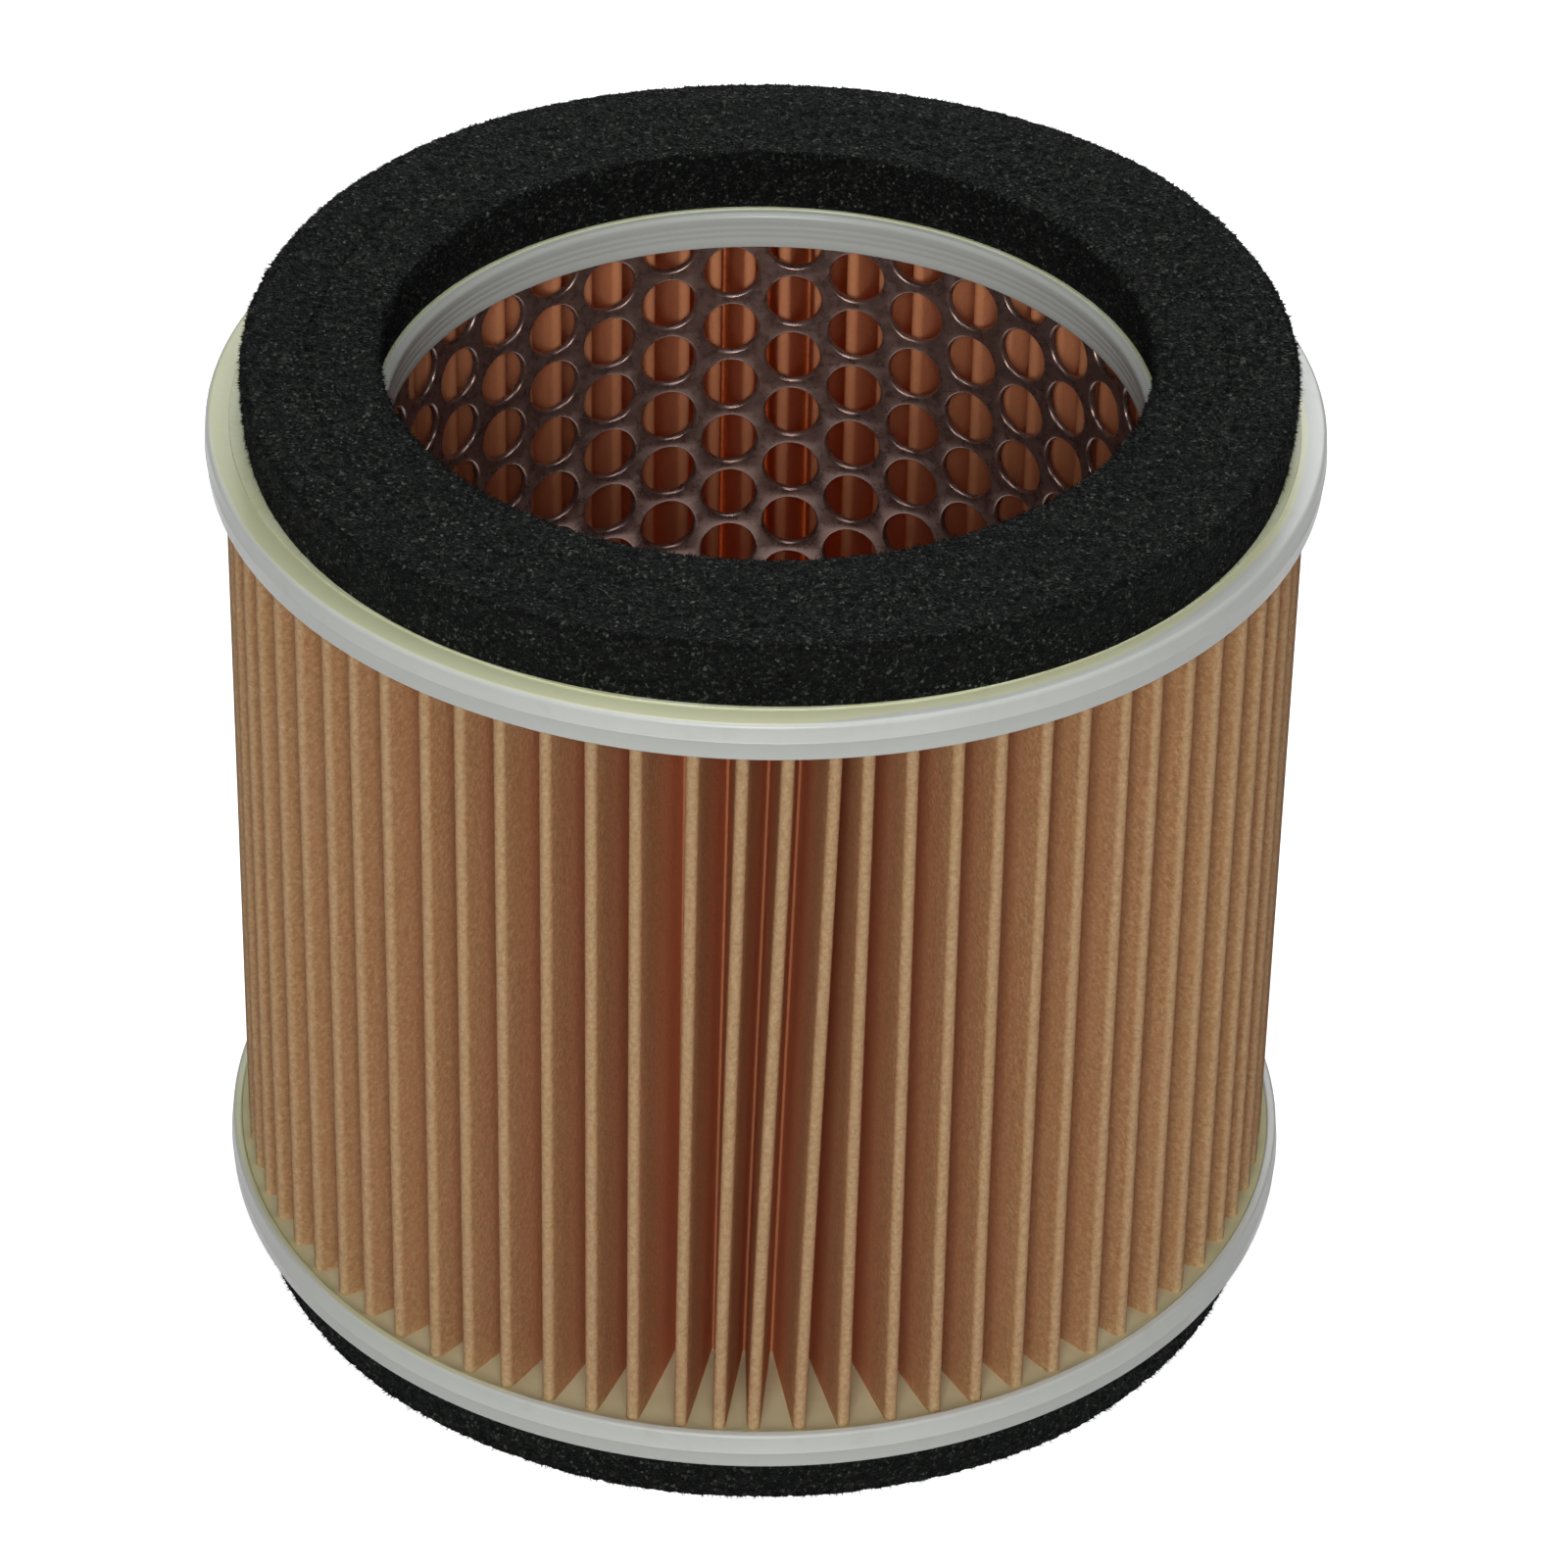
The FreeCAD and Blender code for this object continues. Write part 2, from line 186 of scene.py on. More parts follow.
class Shader:
    """A short way to write a material's node tree round one Principled shader."""

    def __init__(self, name):
        self.material = bpy.data.materials.new(name)
        self.material.use_nodes = True
        self.tree = self.material.node_tree
        self.shader = self.tree.nodes["Principled BSDF"]
        self.output = self.tree.nodes["Material Output"]
        self.place = self.node("ShaderNodeTexCoord").outputs["Object"]

    def node(self, kind, **settings):
        made = self.tree.nodes.new(kind)
        for key, value in settings.items():
            if key in made.inputs:
                made.inputs[key].default_value = value
            else:
                setattr(made, key, value)
        return made

    def link(self, source, target):
        self.tree.links.new(source, target)

    def noise(self, scale, detail=3.0, roughness=0.6, stretch=(1, 1, 1)):
        made = self.node("ShaderNodeTexNoise", Scale=scale, Detail=detail, Roughness=roughness)
        mapping = self.node("ShaderNodeMapping", Scale=stretch)
        self.link(self.place, mapping.inputs["Vector"])
        self.link(mapping.outputs["Vector"], made.inputs["Vector"])
        return made.outputs["Fac"]

    def ramp(self, source, stops):
        made = self.node("ShaderNodeValToRGB")
        ramp = made.color_ramp
        while len(ramp.elements) < len(stops):
            ramp.elements.new(0.5)
        for element, (position, colour) in zip(ramp.elements, stops):
            element.position = position
            element.color = (*colour, 1.0)
        self.link(source, made.inputs["Fac"])
        return made.outputs["Color"]

    def mix(self, fac, one, other):
        made = self.node("ShaderNodeMix", data_type="RGBA")
        for socket, value in ((made.inputs[0], fac), (made.inputs[6], one), (made.inputs[7], other)):
            if isinstance(value, bpy.types.NodeSocket):
                self.link(value, socket)
            elif isinstance(value, (int, float)):
                socket.default_value = value
            else:
                socket.default_value = (*value, 1.0)
        return made.outputs[2]

    def maths(self, operation, one, other):
        made = self.node("ShaderNodeMath", operation=operation)
        for socket, value in zip(made.inputs, (one, other)):
            if isinstance(value, bpy.types.NodeSocket):
                self.link(value, socket)
            else:
                socket.default_value = value
        return made.outputs[0]

    def remap(self, source, low, high, to_low=0.0, to_high=1.0):
        made = self.node("ShaderNodeMapRange", clamp=True)
        made.inputs["From Min"].default_value = low
        made.inputs["From Max"].default_value = high
        made.inputs["To Min"].default_value = to_low
        made.inputs["To Max"].default_value = to_high
        self.link(source, made.inputs["Value"])
        return made.outputs["Result"]

    def radius_from_axis(self):
        parts = self.node("ShaderNodeSeparateXYZ")
        self.link(self.place, parts.inputs[0])
        flat = self.node("ShaderNodeCombineXYZ")
        self.link(parts.outputs["X"], flat.inputs["X"])
        self.link(parts.outputs["Y"], flat.inputs["Y"])
        length = self.node("ShaderNodeVectorMath", operation="LENGTH")
        self.link(flat.outputs[0], length.inputs[0])
        return length.outputs["Value"]

    def across(self):
        parts = self.node("ShaderNodeSeparateXYZ")
        self.link(self.place, parts.inputs[0])
        return parts.outputs["X"]

    def bump(self, source, strength, distance, under=None):
        made = self.node("ShaderNodeBump", Strength=strength, Distance=distance)
        self.link(source, made.inputs["Height"])
        if under is not None:
            self.link(under, made.inputs["Normal"])
        return made.outputs["Normal"]

    def surface(self, **inputs):
        for key, value in inputs.items():
            socket = self.shader.inputs[key.replace("_", " ")]
            if isinstance(value, bpy.types.NodeSocket):
                self.link(value, socket)
            elif isinstance(value, tuple):
                socket.default_value = (*value, 1.0)
            else:
                socket.default_value = value


def cap_plastic():
    s = Shader("cap_plastic")
    clouds = s.noise(55.0, 2.0)
    stain = s.noise(260.0, 4.0)
    base = s.ramp(clouds, [(0.3, (0.565, 0.58, 0.54)), (0.7, (0.61, 0.625, 0.59))])
    radius = s.radius_from_axis()
    wander = s.remap(s.noise(22.0, 2.0, 0.5), 0.35, 0.65, 54.2 * MM, 55.8 * MM)
    more_at_left = s.maths("MULTIPLY", s.across(), -0.022)
    inside_edge = s.maths("SUBTRACT", s.maths("ADD", wander, more_at_left), radius)
    smeared = s.remap(inside_edge, -0.15 * MM, 0.25 * MM)
    off_collar = s.remap(radius, 39.0 * MM, 41.0 * MM)
    on_face = s.remap(radius, 55.5 * MM, 55.7 * MM, 1.0, 0.0)
    tinted = s.maths("MULTIPLY", s.maths("MULTIPLY", smeared, off_collar), on_face)
    # Painted shade: the yellow glue tint is made darker towards the -X side, where the face gets less
    # light.
    shade_at_left = s.remap(s.across(), -50.0 * MM, -15.0 * MM, 1.0, 0.0)
    tint_shaded_at_left = s.mix(shade_at_left, (0.70, 0.705, 0.47), (0.52, 0.535, 0.335))
    colour = s.mix(tinted, base, tint_shaded_at_left)
    # Painted shade: the bore's wall and lip are darkened, standing in for shade inside the collar.
    painted_bore_shade = s.remap(radius, BORE_RADIUS + 0.4 * MM, BORE_RADIUS + 1.0 * MM, 0.45, 0.0)
    colour = s.mix(painted_bore_shade, colour, (0.25, 0.255, 0.24))
    colour = s.mix(s.remap(stain, 0.58, 0.8, 0.0, 0.25), colour, (0.42, 0.40, 0.30))
    fine = s.noise(2600.0, 2.0)
    rings = s.noise(900.0, 2.0, stretch=(0.02, 0.02, 1.0))
    normal = s.bump(fine, 0.15, 0.0001)
    normal = s.bump(rings, 0.25, 0.0001, normal)
    s.surface(Base_Color=colour, Roughness=s.remap(clouds, 0.3, 0.7, 0.30, 0.42), Normal=normal)
    return s.material


def filter_paper():
    s = Shader("filter_paper")
    fibres = s.noise(1900.0, 3.0, 0.75)
    blotches = s.noise(520.0, 3.0)
    patches = s.noise(38.0, 2.0)
    radius = s.radius_from_axis()
    colour = s.ramp(fibres, [(0.28, (0.35, 0.20, 0.078)), (0.50, (0.52, 0.335, 0.155)),
                             (0.72, (0.74, 0.52, 0.275))])
    colour = s.mix(s.remap(blotches, 0.40, 0.75, 0.0, 0.35), colour, (0.45, 0.28, 0.12))
    colour = s.mix(s.remap(patches, 0.3, 0.7, 0.0, 0.15), colour, (0.62, 0.43, 0.23))
    # Painted light: the paper turns redder deeper in the pleats, standing in for light bounced
    # between the leaves.
    painted_bounce = s.remap(radius, PLEAT_TIP_RADIUS - 9.0 * MM, PLEAT_TIP_RADIUS - 0.8 * MM, 0.85, 0.0)
    colour = s.mix(painted_bounce, colour, (0.80, 0.32, 0.15))
    # Painted highlight: the outermost 0.75 mm of each pleat tip is paler, standing in for light
    # falling on the tips.
    painted_tip_highlight = s.remap(radius, PLEAT_TIP_RADIUS - 0.75 * MM, PLEAT_TIP_RADIUS - 0.2 * MM, 0.0, 0.75)
    tip_highlight_tone = s.ramp(fibres, [(0.3, (0.56, 0.42, 0.21)), (0.7, (0.88, 0.70, 0.41))])
    colour = s.mix(painted_tip_highlight, colour, tip_highlight_tone)
    normal = s.bump(fibres, 0.7, 0.00018)
    normal = s.bump(blotches, 0.25, 0.0002, normal)
    s.surface(Base_Color=colour, Roughness=0.88, Specular_IOR_Level=0.18, Normal=normal)
    glow = s.node("ShaderNodeBsdfTranslucent", Color=(0.98, 0.34, 0.10, 1.0))
    s.link(normal, glow.inputs["Normal"])
    blend = s.node("ShaderNodeMixShader", Fac=0.30)
    s.link(s.shader.outputs[0], blend.inputs[1])
    s.link(glow.outputs[0], blend.inputs[2])
    s.link(blend.outputs[0], s.output.inputs["Surface"])
    return s.material


def core_steel():
    s = Shader("core_steel")
    mottle = s.noise(900.0, 4.0, 0.7)
    clouds = s.noise(90.0, 3.0)
    colour = s.ramp(mottle, [(0.3, (0.18, 0.11, 0.095)), (0.7, (0.34, 0.235, 0.205))])
    colour = s.mix(s.remap(clouds, 0.45, 0.7, 0.0, 0.5), colour, (0.25, 0.15, 0.115))
    rough = s.remap(mottle, 0.3, 0.75, 0.22, 0.40)
    normal = s.bump(mottle, 0.15, 0.0001)
    s.surface(Base_Color=colour, Metallic=0.8, Roughness=rough, Normal=normal)
    return s.material


def weld_steel():
    s = Shader("weld_steel")
    mottle = s.noise(1400.0, 3.0)
    colour = s.ramp(mottle, [(0.3, (0.045, 0.038, 0.036)), (0.7, (0.12, 0.10, 0.10))])
    s.surface(Base_Color=colour, Metallic=0.8, Roughness=0.5, Normal=s.bump(mottle, 0.3, 0.0001))
    return s.material


def potting_compound():
    s = Shader("potting_compound")
    clouds = s.noise(120.0, 3.0)
    specks = s.noise(1300.0, 2.0)
    colour = s.ramp(clouds, [(0.3, (0.57, 0.50, 0.30)), (0.7, (0.66, 0.60, 0.38))])
    at_rim = s.remap(s.radius_from_axis(), CAP_RADIUS - 2.4 * MM, CAP_RADIUS - 1.5 * MM)
    colour = s.mix(s.maths("MULTIPLY", at_rim, 0.7), colour, (0.66, 0.66, 0.38))
    colour = s.mix(s.remap(specks, 0.62, 0.8, 0.0, 0.3), colour, (0.46, 0.42, 0.28))
    normal = s.bump(clouds, 0.3, 0.0004)
    s.surface(Base_Color=colour, Roughness=0.42, Normal=normal, Subsurface_Weight=0.1)
    s.shader.inputs["Subsurface Radius"].default_value = (0.002, 0.0016, 0.001)
    s.shader.inputs["Subsurface Scale"].default_value = 0.5
    return s.material


def gasket_foam():
    s = Shader("gasket_foam")
    cells = s.node("ShaderNodeTexVoronoi", Scale=3600.0)
    s.link(s.place, cells.inputs["Vector"])
    shade = s.node("ShaderNodeSeparateColor")
    s.link(cells.outputs["Color"], shade.inputs[0])
    grain = s.noise(1500.0, 3.0, 0.8)
    colour = s.ramp(shade.outputs[0], [
        (0.0, (0.001, 0.0011, 0.001)), (0.5, (0.0045, 0.005, 0.0042)),
        (0.8, (0.021, 0.0225, 0.019)), (0.94, (0.056, 0.06, 0.051)), (1.0, (0.13, 0.14, 0.12)),
    ])
    colour = s.mix(s.remap(grain, 0.35, 0.60, 0.0, 0.85), (0.002, 0.0022, 0.0019), colour)
    normal = s.bump(cells.outputs["Distance"], 0.8, 0.0003)
    normal = s.bump(grain, 0.6, 0.0003, normal)
    s.surface(Base_Color=colour, Roughness=0.8, Specular_IOR_Level=0.08, Normal=normal,
              Sheen_Weight=0.015, Sheen_Roughness=0.6, Sheen_Tint=(0.7, 0.9, 0.88))
    return s.material


def foam_glue():
    s = Shader("foam_glue")
    clouds = s.noise(140.0, 3.0)
    fine = s.noise(900.0, 3.0)
    colour = s.ramp(clouds, [(0.3, (0.66, 0.69, 0.52)), (0.65, (0.60, 0.62, 0.38))])
    colour = s.mix(s.remap(fine, 0.5, 0.8, 0.0, 0.3), colour, (0.48, 0.44, 0.22))
    s.surface(Base_Color=colour, Roughness=0.5, Normal=s.bump(fine, 0.3, 0.0002))
    return s.material


def seam_glue():
    s = Shader("seam_glue")
    clouds = s.noise(300.0, 2.0)
    colour = s.ramp(clouds, [(0.3, (0.30, 0.20, 0.09)), (0.7, (0.44, 0.32, 0.15))])
    s.surface(Base_Color=colour, Roughness=0.35, Normal=s.bump(clouds, 0.3, 0.0002))
    return s.material


# --- End caps -----------------------------------------------------------------------------

SHOULDER_RADIUS = 0.5 * MM
LIP_RADIUS = 0.6 * MM
EDGE_RADIUS = 0.3 * MM
PARTING_DEPTH = 2.0 * MM
PARTING_STEP = 0.08 * MM
PARTING_BEAD = 0.16 * MM            # half the width of the raised line there
PARTING_ROUND = 0.03 * MM
RIM_DRAFT = 0.12 * MM
COLLAR_LINES = (1.4, 2.1, 2.8)      # how far down the collar its faint moulding lines are, in mm
COLLAR_LINE_DEPTH = 0.04 * MM
COLLAR_LINE_WIDTH = 0.14 * MM
CAP_SEGMENTS = 512


def end_cap(name, node, face, inward):
    """A moulded ring cap. inward is -1 for the top cap, whose channel opens downwards."""
    depth = abs(TOP_FACE - TOP_CAP_EDGE)
    rim_inner = CAP_RADIUS - RIM_WALL
    collar_outer = BORE_RADIUS + COLLAR_WALL
    corners = [(BORE_RADIUS, 0, LIP_RADIUS)]
    for line in COLLAR_LINES:
        corners.append((BORE_RADIUS, line * MM - COLLAR_LINE_WIDTH, 0))
        corners.append((BORE_RADIUS + COLLAR_LINE_DEPTH, line * MM, 0))
        corners.append((BORE_RADIUS, line * MM + COLLAR_LINE_WIDTH, 0))
    corners += [
        (BORE_RADIUS, depth, EDGE_RADIUS),
        (collar_outer, depth, EDGE_RADIUS),
        (collar_outer, FACE_THICKNESS, 0),
        (rim_inner, FACE_THICKNESS, 0),
        (rim_inner, depth, EDGE_RADIUS),
        (CAP_RADIUS - PARTING_STEP - RIM_DRAFT, depth, EDGE_RADIUS),
        (CAP_RADIUS - PARTING_STEP, PARTING_DEPTH + PARTING_BEAD, 0),
        (CAP_RADIUS, PARTING_DEPTH, PARTING_ROUND),
        (CAP_RADIUS - PARTING_STEP, PARTING_DEPTH - PARTING_BEAD, 0),
        (CAP_RADIUS - RIM_DRAFT, 0, SHOULDER_RADIUS),
    ]
    placed = [(r, face + inward * z, rounding) for r, z, rounding in corners]
    points, faces = lathe(rounded_profile(placed, 8), CAP_SEGMENTS)
    if inward < 0:
        faces = faces[:, ::-1]
    piece = make_object(name, points, faces, PLASTIC, crease_degrees=50.0)
    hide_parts(node)
    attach(piece, "root")


# --- Foam gaskets -------------------------------------------------------------------------

FOAM_SEGMENTS = 940
FOAM_SPACING = 0.36 * MM
FOAM_HIDDEN_SPACING = 2.0 * MM      # on the glued side, which nobody sees
FOAM_SKIN = 0.15 * MM               # the ring stays this far inside its CAD height
FOAM_ROUGHNESS = 0.12 * MM
FOAM_GRAIN_SCALE = 2.4              # brings the smoothed grain back to about its first strength
FOAM_GRAIN_LIMITS = (-2.0, 1.1)
FOAM_UNEVEN = 0.2 * MM
FOAM_INNER_UNEVEN = 0.6             # how uneven the inner side is beside the outer one
FOAM_FOUR_LOBES = 0.8               # size of the oval's four-sided part
FOAM_LOOSENING = 6.0                # fully loose from a sixth of the height above the glue
FOAM_FLATNESS = 6.0                 # how squarely each side's roughness points away from it
FOAM_EDGE_RADIUS = 0.5 * MM
STRUT_LENGTH = (0.15 * MM, 0.60 * MM)
STRUT_RADIUS = 0.065 * MM
STRUT_LEAN = 0.7                    # how far the struts point away from straight out
STRUT_LOOSE_LIMIT = 0.3             # they stand only where the surface is this loose from its glue
TOP_STRUTS = 96000
BOTTOM_STRUTS = 36000
TOP_FOAM_GLUED = (39.2 * MM, 52.9 * MM)
TOP_FOAM_CUT = (38.3 * MM, 53.2 * MM)
TOP_FOAM_OVAL = 0.45 * MM
TOP_FOAM_ASIDE = 0.25 * MM          # the top ring is pulled to +X by this much
BOTTOM_FOAM_GLUED = (39.2 * MM, 53.0 * MM)
BOTTOM_FOAM_CUT = (38.6 * MM, 53.4 * MM)
BOTTOM_FOAM_OVAL = 0.1 * MM


def foam_outline(base, free, base_radii, free_radii):
    """The ring's section: fine steps on the sides that show, coarse ones on the glued side."""
    inward = FOAM_SKIN if free > base else -FOAM_SKIN
    corners = [
        (base_radii[0], base, 0),
        (base_radii[1], base, 0),
        (free_radii[1], free - inward, FOAM_EDGE_RADIUS),
        (free_radii[0], free - inward, FOAM_EDGE_RADIUS),
    ]
    outline = subdivided(rounded_profile(corners, 5), FOAM_SPACING)
    hidden = np.abs(outline[:, 1] - base) < FOAM_SPACING / 10.0
    hidden_steps = int((base_radii[1] - base_radii[0]) / FOAM_HIDDEN_SPACING)
    glued = np.linspace(base_radii[0], base_radii[1], hidden_steps)
    seen = outline[~hidden]
    return np.vstack([np.column_stack([glued, np.full(len(glued), base)]), seen])


def foam_struts(grid, away, radial, loose, count):
    """Cut ends of the foam's open cells: fine spikes that stand out of the surface at random."""
    rows = rng.randint(0, grid.shape[0], count)
    columns = rng.choice(np.where(loose > STRUT_LOOSE_LIMIT)[0], count)
    start = grid[rows, columns]
    out = np.column_stack([radial[rows] * away[columns, 0][:, None], away[columns, 1]])
    lean = rng.normal(0, STRUT_LEAN, (count, 3))
    way = out + lean
    way /= np.linalg.norm(way, axis=1)[:, None]
    side = np.cross(way, rng.normal(0, 1, (count, 3)))
    side /= np.linalg.norm(side, axis=1)[:, None]
    other = np.cross(way, side)
    length = rng.uniform(*STRUT_LENGTH, count)[:, None]
    foot = start - out * STRUT_RADIUS * 2.0
    points = np.empty((count, 4, 3))
    for corner in range(3):
        turn = TURN * corner / 3.0
        points[:, corner] = foot + (side * math.cos(turn) + other * math.sin(turn)) * STRUT_RADIUS
    points[:, 3] = start + way * length
    spike = np.array([[0, 1, 3], [1, 2, 3], [2, 0, 3], [0, 2, 1]])
    corners = np.arange(count)[:, None, None] * 4 + spike
    return points.reshape(-1, 3), corners.reshape(-1, 3)


def foam_ring(name, node, base, free, base_radii, free_radii, oval, aside, struts):
    """A cut foam ring: open cells break its surface, and it was glued on slightly oval."""
    outline = foam_outline(base, free, base_radii, free_radii)
    points, faces = lathe(outline, FOAM_SEGMENTS)
    grid = points.reshape(FOAM_SEGMENTS, -1, 3)
    angles = np.arange(FOAM_SEGMENTS) * TURN / FOAM_SEGMENTS
    share = np.clip((outline[:, 1] - base) / (free - base), 0, 1)
    uneven = np.zeros(FOAM_SEGMENTS)
    for waves, size in ((3, 0.45), (5, 0.3), (9, 0.25), (14, 0.15)):
        uneven += size * FOAM_UNEVEN * np.sin(waves * angles + rng.uniform(0, TURN))
    outer_side = outline[:, 0] > outline[:, 0].mean()
    shift = uneven[:, None] * share * np.where(outer_side, 1.0, FOAM_INNER_UNEVEN)
    lobes = np.cos(2.0 * angles) + FOAM_FOUR_LOBES * np.cos(4.0 * angles)
    pulled = aside * np.cos(angles) - oval * lobes
    shift = shift + pulled[:, None] * np.where(outer_side, 1.0, 0.0)
    grain = rng.normal(0, 1, grid.shape[:2])
    grain = (2.0 * grain + np.roll(grain, 1, 0) + np.roll(grain, 1, 1)) / FOAM_GRAIN_SCALE
    centre = np.array([outline[:, 0].mean(), outline[:, 1].mean()])
    away = outline - centre
    reach = np.array([(free_radii[1] - free_radii[0]) / 2.0, abs(free - base) / 2.0])
    away = np.sign(away) * np.abs(away / reach) ** FOAM_FLATNESS
    away = away / np.maximum(np.linalg.norm(away, axis=1), 1e-9)[:, None]
    loose = np.clip(share * FOAM_LOOSENING, 0, 1)
    rough = np.clip(grain, *FOAM_GRAIN_LIMITS) * FOAM_ROUGHNESS * loose
    radial = np.stack([np.cos(angles), np.sin(angles)], axis=1)
    grid[:, :, :2] += radial[:, None, :] * (shift + rough * away[:, 0])[:, :, None]
    grid[:, :, 2] += rough * away[:, 1]
    spikes, spike_faces = foam_struts(grid, away, radial, loose, struts)
    low, high = sorted((base, free))
    spikes[:, 2] = np.clip(spikes[:, 2], low, high)
    count = FOAM_SEGMENTS * len(outline)
    faces = faces.tolist() + (spike_faces + count).tolist()
    piece = make_object(name, np.vstack([grid.reshape(-1, 3), spikes]), faces, FOAM,
                        crease_degrees=180.0)
    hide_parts(node)
    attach(piece, "root")


# --- Glue films ---------------------------------------------------------------------------

GLUE_INNER = 38.9 * MM
GLUE_OUTER = 53.4 * MM
GLUE_WANDER = 0.22 * MM
GLUE_WAVES = (1, 2, 3, 5, 8, 13, 21, 34)
GLUE_WAVE_SUM = 2.5                 # about how far the waves add up
GLUE_EDGE_RADIUS = 0.08 * MM
GLUE_SEGMENTS = 720


def glue_film(name, node):
    """The contact adhesive that shows round a gasket, with an uneven brushed edge."""
    low, high = node_heights(node)
    corners = [
        (GLUE_INNER, low, 0),
        (GLUE_OUTER, low, 0),
        (GLUE_OUTER, high, GLUE_EDGE_RADIUS),
        (GLUE_INNER, high, 0),
    ]
    outline = rounded_profile(corners, 3)
    points, faces = lathe(outline, GLUE_SEGMENTS)
    grid = points.reshape(GLUE_SEGMENTS, -1, 3)
    angles = np.arange(GLUE_SEGMENTS) * TURN / GLUE_SEGMENTS
    wander = np.zeros(GLUE_SEGMENTS)
    for waves in GLUE_WAVES:
        wander += np.sin(waves * angles + rng.uniform(0, TURN)) / math.sqrt(waves)
    wander *= GLUE_WANDER / GLUE_WAVE_SUM
    outer = outline[:, 0] > (GLUE_INNER + GLUE_OUTER) / 2.0
    scale = 1.0 + np.where(outer, wander[:, None], 0.0) / GLUE_OUTER
    grid[:, :, :2] *= scale[:, :, None]
    piece = make_object(name, grid.reshape(-1, 3), faces[:, ::-1], GLUE)
    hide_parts(node)
    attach(piece, "root")


# --- Folded paper -------------------------------------------------------------------------

PLEAT_SEAM = math.radians(6.0)
FRONT = math.radians(270.0)
LEAN = math.radians(2.6)            # how far the tops of the leaning pleats have moved
LEAN_CENTRE = FRONT + math.radians(2.0)
LEAN_WIDTH = math.radians(8.0)
DRIFT = math.radians(-0.4)          # the front pleats have all moved along by this much
CROWDING = math.radians(-0.9)       # and those on either side have moved towards each other
CROWDING_CENTRE = FRONT - math.radians(1.0)
CROWDING_WIDTH = math.radians(3.0)
PITCH_JITTER = math.radians(0.16)
LEAN_JITTER = math.radians(0.10)
LEAN_EASING = 0.2                   # how much of the lean bends instead of running straight
SEAM_HELD_PITCHES = 3.0             # the pleats this near the seam stand regularly
PACK_LEVELS = 26
LEAF_STEPS = 5
FOLD_STEPS = 6
JITTER_LIMIT = 1.8                  # in standard deviations
SEAM_GLUE_MEAN = 0.15 * MM
SEAM_GLUE_MARGIN = 0.12             # share of the leaf's width left bare at each edge
SEAM_GLUE_LEVELS = 12


def pleat_angles():
    """Tip and root angles of every pleat at the bottom, and how far each leans at the top."""
    mean_radius = (PLEAT_TIP_RADIUS + PLEAT_ROOT_RADIUS) / 2.0
    seam = (PAPER_THICKNESS + SEAM_GLUE_MEAN) / mean_radius
    pitch = (TURN - seam) / PLEAT_COUNT
    regular = PLEAT_SEAM + pitch * (np.arange(2 * PLEAT_COUNT + 2) - 1) / 2.0
    away_from_seam = np.minimum(regular - regular[0], regular[-1] - regular)
    held = np.clip(away_from_seam / (SEAM_HELD_PITCHES * pitch), 0, 1)
    fade = np.clip(away_from_seam / (FRONT - math.pi), 0, 1)
    shift = fade * (DRIFT + CROWDING * np.tanh((regular - CROWDING_CENTRE) / CROWDING_WIDTH))
    pitch_jitter = np.clip(rng.normal(0, 1, len(regular)), -JITTER_LIMIT, JITTER_LIMIT)
    bottom = regular + shift + held * (pitch_jitter * PITCH_JITTER)
    lean = LEAN * np.exp(-((bottom - LEAN_CENTRE) / LEAN_WIDTH) ** 2)
    lean_jitter = np.clip(rng.normal(0, 1, len(regular)), -JITTER_LIMIT, JITTER_LIMIT)
    lean += held * lean_jitter * LEAN_JITTER
    return bottom, lean * held


def leaf_normal(start, end, from_tip):
    """The left normal of a leaf that crosses from one fold's far side to the next one's."""
    span = end - start
    across = -(FOLD_INSIDE + FOLD_OUTSIDE) if from_tip else FOLD_INSIDE + FOLD_OUTSIDE
    angle = math.atan2(span[1], span[0]) + math.acos(across / np.linalg.norm(span))
    return np.array([math.cos(angle), math.sin(angle)])


def paper_line(centres, normals, left):
    """One face of the strip at one height: points round each fold and along each leaf."""
    points = []

    def offset(index):
        radius = FOLD_INSIDE if (index % 2 == 1) == left else FOLD_OUTSIDE
        return -radius if index % 2 else radius

    last = centres[0] + normals[0] * offset(0)
    for i in range(1, len(centres)):
        size = offset(i)
        arriving = centres[i] + normals[i - 1] * size
        points.extend(last + (arriving - last) * k / LEAF_STEPS for k in range(LEAF_STEPS))
        if i == len(centres) - 1:
            points.append(arriving)
            break
        leaving = centres[i] + normals[i] * size
        first_angle = math.atan2(*(arriving - centres[i])[::-1])
        sweep = math.atan2(*(leaving - centres[i])[::-1]) - first_angle
        direction = 1 if i % 2 else -1
        sweep = (sweep * direction) % TURN * direction
        for k in range(FOLD_STEPS):
            angle = first_angle + sweep * k / FOLD_STEPS
            points.append(centres[i] + abs(size) * np.array([math.cos(angle), math.sin(angle)]))
        last = leaving
    return np.array(points)


def fold_centres(angles):
    """The middle of every fold's rounding, in turn at the roots and at the tips."""
    at_tip = np.arange(len(angles)) % 2 == 1
    radii = np.where(at_tip, PLEAT_TIP_RADIUS - FOLD_OUTSIDE, PLEAT_ROOT_RADIUS + FOLD_OUTSIDE)
    return np.stack([radii * np.cos(angles), radii * np.sin(angles)], axis=1)


def paper_section(angles):
    """Both faces of the strip at one height, from the fold angles there."""
    centres = fold_centres(angles)
    normals = [leaf_normal(centres[i], centres[i + 1], i % 2 == 1)
               for i in range(len(centres) - 1)]
    return paper_line(centres, normals, True), paper_line(centres, normals, False)


